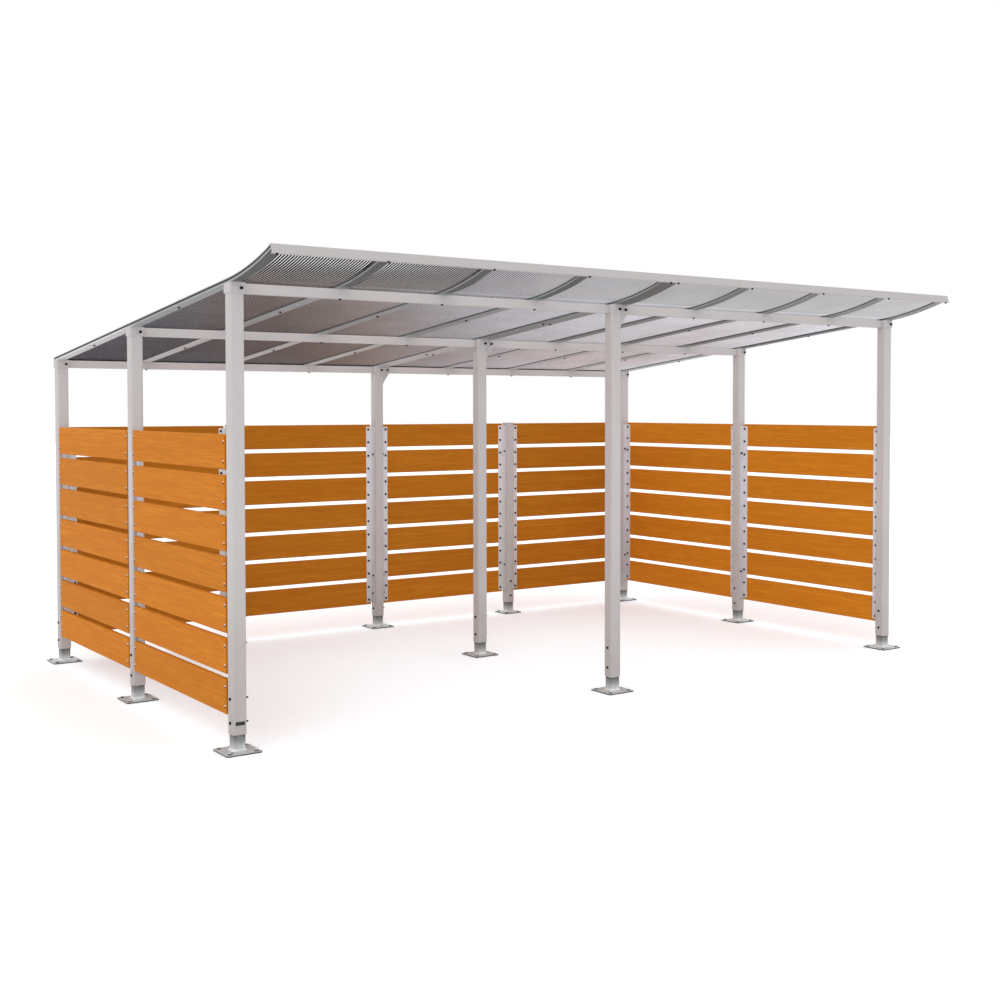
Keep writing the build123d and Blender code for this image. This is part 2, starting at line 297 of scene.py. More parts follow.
def straight_rays(tree):
    """1 for the camera's rays and for those that metal and clear plastic send on, else 0."""
    rays = node(tree, "ShaderNodeLightPath").outputs
    total = rays["Is Camera Ray"]
    for other in ("Is Glossy Ray", "Is Transmission Ray"):
        total = calc(tree, "MAXIMUM", total, rays[other])
    return total


world = bpy.data.worlds.new("studio")
bpy.context.scene.world = world
world.use_nodes = True
sky = world.node_tree
sky.nodes.clear()
lighting = node(sky, "ShaderNodeBackground", {"Color": WHITE, "Strength": SKY_STRENGTH})
backdrop = node(sky, "ShaderNodeBackground", {"Color": WHITE, "Strength": BACKDROP_STRENGTH})
seen = node(sky, "ShaderNodeMixShader", {0: straight_rays(sky), 1: lighting.outputs[0],
                                         2: backdrop.outputs[0]})
node(sky, "ShaderNodeOutputWorld", {"Surface": seen.outputs[0]})

lamp_data = bpy.data.lights.new("soft_lamp", "SUN")
lamp_data.energy = LAMP_STRENGTH
lamp_data.angle = LAMP_WIDTH
lamp = bpy.data.objects.new("soft_lamp", lamp_data)
lamp.rotation_euler = LAMP_DIRECTION.to_track_quat("-Z", "Y").to_euler()
bpy.context.scene.collection.objects.link(lamp)

floor_mesh = bpy.data.meshes.new("floor")
bm = bmesh.new()
bmesh.ops.create_grid(bm, x_segments=1, y_segments=1, size=FLOOR_REACH)
bm.to_mesh(floor_mesh)
bm.free()
floor = bpy.data.objects.new("floor", floor_mesh)
floor.location.z = -FLOOR_GAP
bpy.context.scene.collection.objects.link(floor)

floor_finish = bpy.data.materials.new("pale studio floor")
floor_finish.use_nodes = True
tree = floor_finish.node_tree
tree.nodes.clear()
matt = node(tree, "ShaderNodeBsdfDiffuse", {"Color": "#fafbff"})
lift = calc(tree, "MULTIPLY", straight_rays(tree), FLOOR_LIFT)
glow = node(tree, "ShaderNodeEmission", {"Strength": lift})
both = node(tree, "ShaderNodeAddShader", {0: matt.outputs[0], 1: glow.outputs[0]})
node(tree, "ShaderNodeOutputMaterial", {"Surface": both.outputs[0]})
floor_mesh.materials.append(floor_finish)
print("floor nodes:", len(tree.nodes), "sky nodes:", len(sky.nodes))

# %% [markdown]
# ## Paint and zinc
# The steel frame is powder coated in a warm light grey. Up close such a coat has a fine orange
# peel, and near the ground it collects a little dust. The feet are dipped in molten zinc, which
# freezes in flat crystals a centimetre wide. Their colour goes by height as painted light: painted
# shade on the rim of the plate, a painted highlight on the fillet and a painted shadow just under
# the post.

# %% Paint and zinc
def powder_coat(name, colour, shade):
    """Warm grey powder coat: a satin skin with orange peel and dust towards the ground."""
    material, tree, place, shader = start_material(name)
    clouds = noise(tree, place, 350 * MM, 3.0)
    near_ground = remap(tree, split(tree, place)["Z"], 0.05, 1.1, 1.1, 0.0)
    dust = calc(tree, "MULTIPLY", near_ground, clouds)
    tint = mix(tree, clouds, colour, shade)
    peel = noise(tree, place, 3 * MM, 1.0)
    join(tree, shader, {"Base Color": mix(tree, dust, tint, "#a49d99"),
                        "Roughness": remap(tree, clouds, start=0.42, end=0.6),
                        "Normal": relief(tree, peel, 0.12, 0.4 * MM)})
    return material


frame_paint = powder_coat("powder coated steel, warm grey", "#c8c2c1", "#beb8b7")
# The angles take a paler copy of the coat, painted lighter to make up for the shade they stand in
# inside the walls.
lightened_bracket_paint = powder_coat("powder coated steel angle, warm grey", "#e6e3e6", "#dad8dc")

# Colour by height is painted light: painted shade on the plate's rim, a painted highlight on the
# fillet and a painted shadow just under the post.
ZINC_LIGHT_BY_HEIGHT = [(0.0, "#343535"), (0.0062, "#3c3d3d"), (0.0076, "#c9cbcb"), (0.0125, "#fafafa"),
                  (0.024, "#dcdcdd"), (0.055, "#989997"), (0.092, "#4f504e"), (0.1, "#5f6060")]
zinc, tree, place, shader = start_material("hot-dip galvanised steel")
crystals = node(tree, "ShaderNodeTexVoronoi", {"Vector": place, "Scale": per(9 * MM)})
flakes = node(tree, "ShaderNodeSeparateColor", {"Color": crystals.outputs["Color"]}).outputs
stain = noise(tree, place, 40 * MM, 4.0)
light_by_height = ramp(tree, split(tree, place)["Z"], ZINC_LIGHT_BY_HEIGHT)
tone = mix(tree, 1.0, light_by_height, remap(tree, flakes[0], start=0.86), "MULTIPLY")
dull = remap(tree, stain, 0.5, 0.75, end=0.5)
join(tree, shader, {"Base Color": mix(tree, dull, tone, "#8e9090"),
                    "Roughness": remap(tree, flakes[1], start=0.34, end=0.5),
                    "Normal": relief(tree, stain, 0.2, 0.6 * MM),
                    "Metallic": 0.2})
print("zinc nodes:", len(tree.nodes))

# %% [markdown]
# ## Aluminium
# The aluminium strips are rolled lengthwise, which leaves fine lines. The rafters carry painted
# light and reflection by place: lighter behind the middle row than in front, changing from left to
# right, and darkest, as painted shade, on the faces that lean forward where they sweep up; there
# their narrow edges keep one tone. The cover strips are even all over.

# %% Aluminium
BEHIND_MIDDLE_ROW = (0.1, 0.35)
BEFORE_FRONT_ROW = (-1.3, -1.4)
SWEPT_LEAN = (-0.105, -0.135)
FRONT_RAFTER_LIGHT = [(-2.5, "#a2a7a9"), (-1.3, "#9fa4a6"), (0.0, "#8a8f91"), (2.5, "#7e8182")]
BACK_RAFTER_LIGHT = [(-2.5, "#d6d8da"), (-1.3, "#c4c7c9"), (2.5, "#bcbec0")]
SWEPT_RAFTER_SHADE = [(-2.5, "#636665"), (-0.3, "#5f6261"), (0.6, "#797c7b"), (2.5, "#8f9291")]
COVERS = [(-2.5, "#beb9b8"), (2.5, "#bfbab9")]


def aluminium(name, front_stops, back_stops, swept_stops, edge_colour):
    """Aluminium strip whose tone goes by its place under the roof."""
    material, tree, place, shader = start_material(name)
    stretched = node(tree, "ShaderNodeMapping", {"Vector": place, "Scale": (1.0, 0.02, 1.0)})
    lines = noise(tree, stretched.outputs[0], 1.5 * MM, 2.0)
    x, y = split(tree, place)[:2]
    facing = split(tree, node(tree, "ShaderNodeNewGeometry").outputs["True Normal"])
    # The tones by place and by facing are painted light and reflection, and the faces that lean
    # forward where the rafters sweep up get painted shade.
    face = mix(tree, remap(tree, y, *BEHIND_MIDDLE_ROW), ramp(tree, x, front_stops),
               ramp(tree, x, back_stops))
    narrow = mix(tree, remap(tree, y, *BEFORE_FRONT_ROW), face, edge_colour)
    leaning = remap(tree, facing["Y"], *SWEPT_LEAN)
    wide = mix(tree, leaning, face, ramp(tree, x, swept_stops))
    flat = remap(tree, calc(tree, "ABSOLUTE", facing["Z"]), 0.3, 0.6)
    join(tree, shader, {"Base Color": mix(tree, flat, narrow, wide),
                        "Roughness": remap(tree, lines, start=0.4, end=0.6),
                        "Normal": relief(tree, lines, 0.1, 0.2 * MM),
                        "Metallic": 0.1,
                        "Specular IOR Level": 0.05})
    return material


rafter_metal = aluminium("satin aluminium rafter strip", FRONT_RAFTER_LIGHT, BACK_RAFTER_LIGHT,
                         SWEPT_RAFTER_SHADE, "#a4a6a4")
cover_metal = aluminium("satin aluminium cover strip", COVERS, COVERS, COVERS, "#beb9b8")
print("materials so far:", len(bpy.data.materials))

# %% [markdown]
# ## Rubber, black steel and the plain plate
# The strips between sheets and rafters are soft black rubber, matt with a faint bloom. Bolts and
# nuts are black oxide steel with a slight oily shine. The domed bolts of the boards are zinc plated
# and have a painted highlight on top and painted shade underneath. A small plain plate of dark
# plastic sits on the front left post.

# %% Rubber, black steel and the plain plate
rubber, tree, place, shader = start_material("black sealing rubber")
bloom = noise(tree, place, 20 * MM, 4.0)
join(tree, shader, {"Base Color": mix(tree, bloom, "#141414", "#222221"), "Roughness": 0.7})

black_steel, tree, place, shader = start_material("black oxide steel")
wear = noise(tree, place, 4 * MM, 3.0)
join(tree, shader, {"Base Color": mix(tree, wear, "#0b0b0b", "#181716"),
                    "Roughness": remap(tree, wear, start=0.4, end=0.6),
                    "Specular IOR Level": 0.15})

# Colour by the way a face points: a painted highlight on faces that point up, painted shade on those
# that point sideways and down.
LIGHT_BY_FACING = [(-1.0, "#050505"), (0.1, "#101010"), (0.42, "#e4e4e4"), (1.0, "#f4f4f4")]
dome_steel, tree, place, shader = start_material("zinc plated hardware, painted highlight and shade")
facing = split(tree, node(tree, "ShaderNodeNewGeometry").outputs["True Normal"])
ragged = calc(tree, "MULTIPLY", noise(tree, place, 3 * MM, 3.0), 0.2)
lit = calc(tree, "ADD", facing["Z"], ragged)
join(tree, shader, {"Base Color": ramp(tree, lit, LIGHT_BY_FACING),
                    "Roughness": 0.4,
                    "Specular IOR Level": 0.1})

dark_plastic, tree, place, shader = start_material("dark moulded plastic")
moulded = noise(tree, place, 1 * MM, 1.0)
join(tree, shader, {"Base Color": "#161616",
                    "Roughness": 0.45,
                    "Normal": relief(tree, moulded, 0.1, 0.2 * MM)})
print("materials so far:", len(bpy.data.materials))

# %% [markdown]
# ## Wood
# The boards are planed softwood in a warm orange-brown stain. The grain runs along each board,
# a few millimetres between lines, with darker streaks and an occasional knot. Every board takes
# its place in the pattern from its own numbers, so no two look alike.

# %% Wood
wood, tree, place, shader = start_material("planed softwood, orange-brown stain")
own = node(tree, "ShaderNodeAttribute", attribute_name="grain").outputs["Vector"]
# Each board's own random tone, together with painted light and shade on its edges and inner faces.
board_tone_and_light = node(tree, "ShaderNodeAttribute", attribute_name="board_tone_and_light").outputs["Color"]
along = node(tree, "ShaderNodeMapping", {"Vector": own, "Scale": (0.035, 1.0, 1.0)}).outputs[0]
fine = noise(tree, along, 7 * MM, 5.0, Roughness=0.55)
broad = noise(tree, along, 35 * MM, 3.0, Distortion=0.4)
base = mix(tree, remap(tree, broad, 0.35, 0.65), "#cf7c1c", "#db8b26")
lined = mix(tree, remap(tree, fine, 0.35, 0.68), "#c37218", base)
squeezed = node(tree, "ShaderNodeMapping", {"Vector": own, "Scale": (1.0, 2.2, 0.05)}).outputs[0]
knots = node(tree, "ShaderNodeTexVoronoi", {"Vector": squeezed, "Scale": per(300 * MM)})
knot = remap(tree, knots.outputs["Distance"], 0.012, 0.035, 0.7, 0.0)
knotted = mix(tree, knot, lined, "#a85612")
join(tree, shader, {"Base Color": mix(tree, 1.0, knotted, board_tone_and_light, "MULTIPLY"),
                    "Roughness": remap(tree, fine, start=0.55, end=0.72),
                    "Normal": relief(tree, fine, 0.35, 0.8 * MM),
                    "Specular IOR Level": 0.08})
print("wood nodes:", len(tree.nodes))

# %% [markdown]
# ## From mesh work to a piece
# Every piece below is drawn as loose mesh work in the place where it belongs. This helper turns
# all faces outwards, gives the piece its materials, hangs it on the root body, and hides the CAD
# nodes it stands in for.

# %% From mesh work to a piece
def finish_piece(bm, name, materials, replaces=()):
    """Turn mesh work into a piece that stands in the frame."""
    bmesh.ops.recalc_face_normals(bm, faces=bm.faces)
    mesh = bpy.data.meshes.new(name)
    bm.to_mesh(mesh)
    bm.free()
    for material in materials:
        mesh.materials.append(material)
    piece = bpy.data.objects.new(name, mesh)
    bpy.context.scene.collection.objects.link(piece)
    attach(piece, "root")
    if replaces:
        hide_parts(*replaces)
    return piece


# %% [markdown]
# ## Boards
# A board is sawn square, planed, and its long edges are rounded by a few millimetres so that
# sleeves don't catch. The upper edges get a painted highlight and the lower ones painted shade, so
# they are lighter and darker. The inner faces get painted light and shade wall by wall, darkest at
# the back and lightest on the right wall. Here each board starts as a box that lies along x and
# gets a rounded edge all round. For a side wall it is turned a quarter to the left, which brings
# its back to the left, and it is joined with its six neighbours into one panel.

# %% Boards
BOARD_HEIGHT = 181 * MM
BOARD_LEVELS = 7
EASED_EDGE = 4 * MM
TOP_EDGE_HIGHLIGHT = 1.15
BOTTOM_EDGE_SHADE = 0.5
INNER_LIGHT_AND_SHADE = {"back": 0.82, "left": 0.9, "right": 1.07}
INNER_SIGN = {"back": -1, "left": -1, "right": 1}
GRAIN_SHIFTS = (40, 3, 3)
TONES = (0.93, 1.03)
WARMTHS = (-0.015, 0.015)
random.seed(7)


def board_middles(low, high):
    """Heights of the middles of a panel's boards, from the ground up."""
    step = (high.z - low.z - BOARD_HEIGHT) / (BOARD_LEVELS - 1)
    return [low.z + BOARD_HEIGHT / 2 + level * step for level in range(BOARD_LEVELS)]


def panel_of_boards(node_name):
    """Seven boards in the place of a CAD panel, with their own grain."""
    low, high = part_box(node_name)
    size = high - low
    centre = (low + high) / 2
    wall = node_name.split("_")[0]
    whole = (max(size.x, size.y), min(size.x, size.y), BOARD_HEIGHT)
    bm = bmesh.new()
    grain = bm.verts.layers.float_vector.new("grain")
    tint = bm.verts.layers.float_color.new("board_tone_and_light")
    for height in board_middles(low, high):
        before = set(bm.verts)
        made = bmesh.ops.create_cube(bm, size=1.0)["verts"]
        bmesh.ops.scale(bm, verts=made, vec=whole)
        edges = {edge for vert in made for edge in vert.link_edges}
        bmesh.ops.bevel(bm, geom=list(edges), offset=EASED_EDGE, segments=2, profile=0.5,
                        affect="EDGES", material=-1)
        board = [vert for vert in bm.verts if vert not in before]
        shift = Vector([random.uniform(0, most) for most in GRAIN_SHIFTS])
        tone = random.uniform(*TONES)
        warmth = random.uniform(*WARMTHS)
        for vert in board:
            vert[grain] = vert.co.xzy + shift
            # Painted highlight on the top edges, painted shade on the bottom edges, and painted light
            # and shade on the inner faces.
            rounding = max(0.0, (abs(vert.co.z) - BOARD_HEIGHT / 2 + EASED_EDGE) / EASED_EDGE)
            edge_light = TOP_EDGE_HIGHLIGHT if vert.co.z > 0 else BOTTOM_EDGE_SHADE
            here = tone * (1 + rounding * (edge_light - 1))
            if vert.co.y * INNER_SIGN[wall] > 0:
                here *= INNER_LIGHT_AND_SHADE[wall]
            vert[tint] = (here + warmth, here, here - warmth, 1.0)
        if wall != "back":
            quarter = Matrix.Rotation(math.pi / 2, 3, "Z")
            bmesh.ops.rotate(bm, verts=board, cent=(0, 0, 0), matrix=quarter)
        bmesh.ops.translate(bm, verts=board, vec=(centre.x, centre.y, height))
    return finish_piece(bm, node_name.replace("panel", "boards"), [wood],
                        replaces=[node_name])


panels = sorted(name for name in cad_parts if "panel" in name)
for name in panels:
    piece = panel_of_boards(name)
print("panels of boards:", len(panels), "faces in the last:", len(piece.data.polygons))

# %% [markdown]
# ## Ribbed roof sheets
# The clear sheets are extruded plastic with two skins and fine ribs between them, 17 mm apart,
# that run from the back of the roof to its front edge. Light falls through them, so the inside
# of the shelter stays bright. Seen from below they carry painted light and reflection as a smoky
# tone, darkest at the left and the back, with a little dust in it, and their ribs show as stripes
# whose painted contrast fades to the right. Only the swept front edge is clear between the ribs,
# and there the ribs are painted near black as shade.

# %% Look of the roof sheets
UNDER_LIGHT = [(-4.0, "#6c6d73"), (-3.1, "#787b82"), (-2.2, "#8a827e"), (-1.75, "#9e9793"),
        (-1.45, "#b0aba9"), (-1.0, "#bfc0c5"), (-0.4, "#d7dbe2"), (0.3, "#e7ebf2"),
        (2.9, "#f3f9fe")]
UNDER_LIGHT_LEAN = 0.6
UNDER_LIGHT_START = 0.9
SWEPT_UNDER_LIGHT = [(-2.5, "#88827f"), (-1.3, "#999594"), (-1.2, "#b1b0b3"), (-0.6, "#c6c6c8"),
              (0.3, "#c8c9c9"), (2.5, "#d6d8d8")]
SWEPT_FROM = (-1.3, -1.34)
RIB_CONTRAST = [(-2.5, "#fafafa"), (-1.3, "#e0e0e0"), (0.0, "#909090"), (2.5, "#606060")]
RIB_SIDE = (0.17, 0.23)
OPEN_RIB_SIDE = (0.12, 0.18)
OPEN_TIP = (-1.42, -1.66)
OPEN_BY_X = [(-2.5, "#ffffff"), (-1.9, "#ffffff"), (-1.3, "#c8c8c8"), (-1.2, "#383838"),
             (2.5, "#202020")]
LIGHT_THROUGH = 0.97
TOP_SEEN_THROUGH = 0.25


def sheet_material(name, under):
    """Clear ribbed plastic: a smoky tone of painted light, ribs striped with painted contrast, and an
    open look at the swept front edge with ribs painted dark as shade.
    """
    material, tree, place, shader = start_material(name)
    x, y = split(tree, place)[:2]
    count = node(tree, "ShaderNodeAttribute", attribute_name="rib").outputs["Fac"]
    from_flute = calc(tree, "ABSOLUTE", calc(tree, "SUBTRACT", calc(tree, "FRACT", count), 0.5))
    dusty = remap(tree, noise(tree, place, 250 * MM, 4.0), 0.3, 0.7, 0.93, 1.06)
    if under:
        # The lower skin's smoky tone is painted light and reflection by place: darkest at the left
        # and the back, paling to the right and front, with its own tone in the swept part.
        leaning = calc(tree, "ADD", calc(tree, "MULTIPLY", y, -UNDER_LIGHT_LEAN), x)
        across = calc(tree, "SUBTRACT", leaning, UNDER_LIGHT_START * UNDER_LIGHT_LEAN)
        sheet_tone_and_light = mix(tree, remap(tree, y, *SWEPT_FROM), ramp(tree, across, UNDER_LIGHT),
                   ramp(tree, x, SWEPT_UNDER_LIGHT))
        # The stripes' contrast fades from left to right as painted light.
        contrast = ramp(tree, x, RIB_CONTRAST)
    else:
        sheet_tone_and_light = "#d4d7d7"
        contrast = "#707070"
    tone = mix(tree, 1.0, sheet_tone_and_light, dusty, "MULTIPLY")
    sign = remap(tree, remap(tree, from_flute, *RIB_SIDE), start=1.0, end=-1.0)
    change = mix(tree, 1.0, contrast, sign, "MULTIPLY")
    factor = node(tree, "ShaderNodeVectorMath", {0: change, 1: (1.0, 1.0, 1.0)}, operation="ADD")
    striped = node(tree, "ShaderNodeVectorMath", {0: tone, 1: factor.outputs[0]},
                   operation="MULTIPLY").outputs[0]
    tip = calc(tree, "MULTIPLY", remap(tree, y, *OPEN_TIP), ramp(tree, x, OPEN_BY_X))
    rib = remap(tree, from_flute, *OPEN_RIB_SIDE)
    # At the swept front edge the ribs are painted near black, as painted shade of ribs seen against
    # the light.
    colour = mix(tree, calc(tree, "MULTIPLY", tip, rib), striped, "#0e0d0d")
    join(tree, shader, {"Base Color": colour,
                        "Roughness": 0.35,
                        "Specular IOR Level": 0.0 if under else 0.3})

    between_ribs = remap(tree, rib, start=1.0, end=0.0) if under else 1.0
    open_tip = calc(tree, "MULTIPLY", tip, between_ribs)
    rays = node(tree, "ShaderNodeLightPath").outputs
    light = calc(tree, "MAXIMUM", rays["Is Shadow Ray"], rays["Is Diffuse Ray"])
    through = calc(tree, "MAXIMUM", calc(tree, "MULTIPLY", light, LIGHT_THROUGH), open_tip)
    through = calc(tree, "MAXIMUM", through, 0.0 if under else TOP_SEEN_THROUGH)
    glass = node(tree, "ShaderNodeBsdfTransparent", {"Color": WHITE})
    mixed = node(tree, "ShaderNodeMixShader", {0: through, 1: shader.outputs[0],
                                               2: glass.outputs[0]})
    output = next(n for n in tree.nodes if n.type == "OUTPUT_MATERIAL")
    join(tree, output, {"Surface": mixed.outputs[0]})
    return material


sheet_top = sheet_material("clear ribbed plastic, upper skin", under=False)
sheet_under = sheet_material("clear ribbed plastic, lower skin", under=True)
print("nodes in the lower skin:", len(sheet_under.node_tree.nodes))

# %% [markdown]
# A sheet is made as in the factory: its fluted cross-section is drawn once and pushed out along
# the roof. Here it is drawn at the back edge, pulled straight to the first row of posts, and
# turned upwards about the centre of the front sweep. Each skin sinks a little between the ribs.

# %% Shape of the roof sheets
RIB_PITCH = 17 * MM
FLUTE_PARTS = (0, 0.3, 0.7)
FLUTE_SINK = 0.7 * MM
SKIN_GAP = 0.2 * MM
SEAL_CORE = 20 * MM
SIDE_GAP = 0.5 * MM
BACK_GAP = 4 * MM
FRONT_GAP = 1 * MM
SWEEP_STEPS = 10


def ribbed_sheets(side):
    """Four sheets, each pulled and turned from one fluted cross-section."""
    bm = bmesh.new()
    rib = bm.verts.layers.float.new("rib")
    back = ROOF_LENGTH - BACK_GAP
    front = FRONT_REACH - FRONT_GAP
    for first, last in zip(rafter_x[side], rafter_x[side][1:]):
        start = first + SEAL_CORE / 2 + SIDE_GAP
        end = last - SEAL_CORE / 2 - SIDE_GAP
        ribs = round((end - start) / RIB_PITCH)
        width = (end - start) / ribs
        skin = [(n + part, FLUTE_SINK if part else 0.0) for n in range(ribs) for part in FLUTE_PARTS]
        skin.append((ribs, 0.0))
        outline = [(count, SHEET_LOW + SKIN_GAP + sink) for count, sink in skin]
        outline += [(count, SHEET_HIGH - SKIN_GAP - sink) for count, sink in reversed(skin)]
        section = []
        for count, height in outline:
            corner = bm.verts.new(on_roof(start + count * width, back, height))
            corner[rib] = count
            section.append(corner)
        face = bm.faces.new(section)
        pulled = bmesh.ops.extrude_face_region(bm, geom=[face])["geom"]
        corners = [part for part in pulled if isinstance(part, bmesh.types.BMVert)]
        travel = on_roof(0, 0, 0) - on_roof(0, back, 0)
        bmesh.ops.translate(bm, verts=corners, vec=travel)
        end_face = [part for part in pulled if isinstance(part, bmesh.types.BMFace)]
        bmesh.ops.spin(bm, geom=end_face, cent=on_roof(0, 0, SWEEP_RADIUS), axis=(1, 0, 0),
                       angle=-front / SWEEP_RADIUS, steps=SWEEP_STEPS)
    bmesh.ops.recalc_face_normals(bm, faces=bm.faces)
    for face in bm.faces:
        face.material_index = 1 if face.normal.z < -0.5 else 0
    return finish_piece(bm, f"ribbed_sheets_{side}", [sheet_top, sheet_under],
                        replaces=[f"roof_sheets_{side}"])


for side in SIDES:
    piece = ribbed_sheets(side)
    print("faces in the", side, "sheets:", len(piece.data.polygons))

# %% [markdown]
# ## Feet
# Each post stands on a zinc-coated plate with a stub tube that slides up inside it. The plate
# has rounded corners, with an anchor bolt near each, and a broad fillet leads from the plate up
# into the stub. The two short posts of the back wall have smaller plates.

# %% Feet
PLATE_THICK = 8 * MM
PLATE_CORNER = 15 * MM
PLATE_EDGE = 1.2 * MM
POST_WALL = 4.5 * MM
STUB_CLEARANCE = 0.3 * MM
STUB = POST - 2 * (POST_WALL + STUB_CLEARANCE)
STUB_CORNER = 9 * MM
STUB_INSIDE = 30 * MM
FILLET = 14 * MM
FILLET_STEPS = 5
CORNER_STEPS = 5
CORNER_GROWTH = 0.6
SHORT_PLATE = 170 * MM

plate_low, plate_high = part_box("feet_front")
PLATE = plate_high.y - plate_low.y
feet_of = {row: [(column_x[column], PLATE) for column in COLUMNS] for row in ROWS}
feet_of["back"] += [(x, SHORT_PLATE) for x in short_x.values()]


def rounded_ring(bm, x, y, z, half, radius):
    """A closed line round a square with rounded corners."""
    ring = []
    for corner in range(4):
        middle = math.pi / 4 + corner * math.pi / 2
        cx = x + math.copysign(half - radius, math.cos(middle))
        cy = y + math.copysign(half - radius, math.sin(middle))
        for n in range(CORNER_STEPS + 1):
            turn = middle - math.pi / 4 + n * math.pi / 2 / CORNER_STEPS
            ring.append(bm.verts.new((cx + radius * math.cos(turn), cy + radius * math.sin(turn), z)))
    return [bm.edges.new(pair) for pair in zip(ring, ring[1:] + ring[:1])]


def foot(bm, x, y, plate):
    """Plate, fillet and stub as one closed skin, bridged from line to line."""
    half = plate / 2
    eased = (half - PLATE_EDGE, PLATE_CORNER - PLATE_EDGE)
    rings = [rounded_ring(bm, x, y, 0.0, *eased),
             rounded_ring(bm, x, y, PLATE_EDGE, half, PLATE_CORNER),
             rounded_ring(bm, x, y, PLATE_THICK - PLATE_EDGE, half, PLATE_CORNER),
             rounded_ring(bm, x, y, PLATE_THICK, *eased)]
    for n in range(FILLET_STEPS + 1):
        turn = n * math.pi / 2 / FILLET_STEPS
        rise = PLATE_THICK + FILLET * (1 - math.cos(turn))
        spread = FILLET * (1 - math.sin(turn))
        rings.append(rounded_ring(bm, x, y, rise, STUB / 2 + spread,
                                  STUB_CORNER + CORNER_GROWTH * spread))
    rings.append(rounded_ring(bm, x, y, POST_FOOT + STUB_INSIDE, STUB / 2, STUB_CORNER))
    for lower, upper in zip(rings, rings[1:]):
        bmesh.ops.bridge_loops(bm, edges=lower + upper)
    bmesh.ops.contextual_create(bm, geom=rings[0])
    bmesh.ops.contextual_create(bm, geom=rings[-1])


for row, feet in feet_of.items():
    bm = bmesh.new()
    for x, plate in feet:
        foot(bm, x, row_y[row], plate)
    piece = finish_piece(bm, f"zinc_feet_{row}", [zinc], replaces=[f"feet_{row}"])
    print("faces in the", row, "row of feet:", len(piece.data.polygons))

# %% [markdown]
# ## Bolts and nuts
# The shelter comes flat and is bolted together on site. A hexagon head sits on a washer on one
# side, and a nut with the end of the bolt standing out sits on the other. All of them are made
# by one recipe with a few sizes. The first ones hold the posts on the stubs of their feet. On the
# back row the upper ones sit on the angles that carry the boards.

# %% Bolts and nuts
TO_LEFT, TO_RIGHT = Vector((-1, 0, 0)), Vector((1, 0, 0))
TO_FRONT, TO_BACK = Vector((0, -1, 0)), Vector((0, 1, 0))
DOWN, UP = Vector((0, 0, -1)), Vector((0, 0, 1))
WASHER_THICK = 1.2 * MM
WASHER_SHARE = 0.64
HEXAGON_SHARE = 1 / math.sqrt(3)


def screw_part(bm, place, out, radius, height, sides=6, taper=1.0):
    """A short prism that stands on a surface and points out of it."""
    turn = out.to_track_quat("Z", "Y").to_matrix().to_4x4()
    bmesh.ops.create_cone(bm, cap_ends=True, segments=sides, radius1=radius,
                          radius2=radius * taper, depth=height,
                          matrix=Matrix.Translation(place + out * height / 2) @ turn)


def washer(bm, place, out, across):
    """A thin round washer, and the place on top of it."""
    screw_part(bm, place, out, across * WASHER_SHARE, WASHER_THICK, sides=12)
    return place + out * WASHER_THICK


def bolt_head(bm, place, out, across=13 * MM, high=6 * MM):
    """A washer and a hexagon head with a rounded top."""
    top = washer(bm, Vector(place), out, across)
    radius = across * HEXAGON_SHARE
    screw_part(bm, top, out, radius, high * 0.75)
    screw_part(bm, top + out * high * 0.75, out, radius * 0.95, high * 0.25, sides=12, taper=0.8)


def nut(bm, place, out, across=13 * MM, high=7 * MM, tip=4 * MM):
    """A washer, a nut and the end of the bolt that stands out of it."""
    top = washer(bm, Vector(place), out, across)
    screw_part(bm, top, out, across * HEXAGON_SHARE, high)
    screw_part(bm, top + out * high, out, across * 0.38, tip, sides=8, taper=0.9)


FOOT_BOLT_HEIGHTS = (150 * MM, 273 * MM)
ANGLE_WALL = 4 * MM
back_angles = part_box("back_wall_brackets")[0]
bm = bmesh.new()
for row in ROWS:
    for column in COLUMNS:
        for z in FOOT_BOLT_HEIGHTS:
            on_angle = ANGLE_WALL if row == "back" and z > back_angles.z else 0
            left_rise = 0 if column == "left" else on_angle
            right_rise = 0 if column == "right" else on_angle
            x, y = column_x[column], row_y[row]
            bolt_head(bm, (x - HALF_POST - left_rise, y, z), TO_LEFT)
            nut(bm, (x + HALF_POST + right_rise, y, z), TO_RIGHT, high=10 * MM, tip=10 * MM)
for x in short_x.values():
    for z in FOOT_BOLT_HEIGHTS:
        nut(bm, (x, row_y["back"] - HALF_POST, z), TO_FRONT, tip=5 * MM)
        bolt_head(bm, (x, row_y["back"] + HALF_POST, z), TO_BACK)
piece = finish_piece(bm, "foot_bolts", [black_steel])
print("foot bolt faces:", len(piece.data.polygons))

# %% [markdown]
# Anchor bolts come up through the four holes of each plate. Their nuts are zinc plated, with a
# painted highlight on top and painted shade round the sides, so they read as small dark-rimmed
# lumps.

# %% Anchor nuts
ANCHOR_FROM_EDGE = 26 * MM
bm = bmesh.new()
for row, feet in feet_of.items():
    for x, plate in feet:
        reach = plate / 2 - ANCHOR_FROM_EDGE
        for dx in (-reach, reach):
            for dy in (-reach, reach):
                nut(bm, (x + dx, row_y[row] + dy, PLATE_THICK), UP, across=18 * MM, high=5 * MM,
                    tip=2 * MM)
piece = finish_piece(bm, "anchor_nuts", [dome_steel])
print("anchor nut faces:", len(piece.data.polygons))

# %% [markdown]
# Single bolts tie the beams to the post heads, and two in each angle hold it against its post.
# The nuts on the beams face the front, near the right edges of the posts.

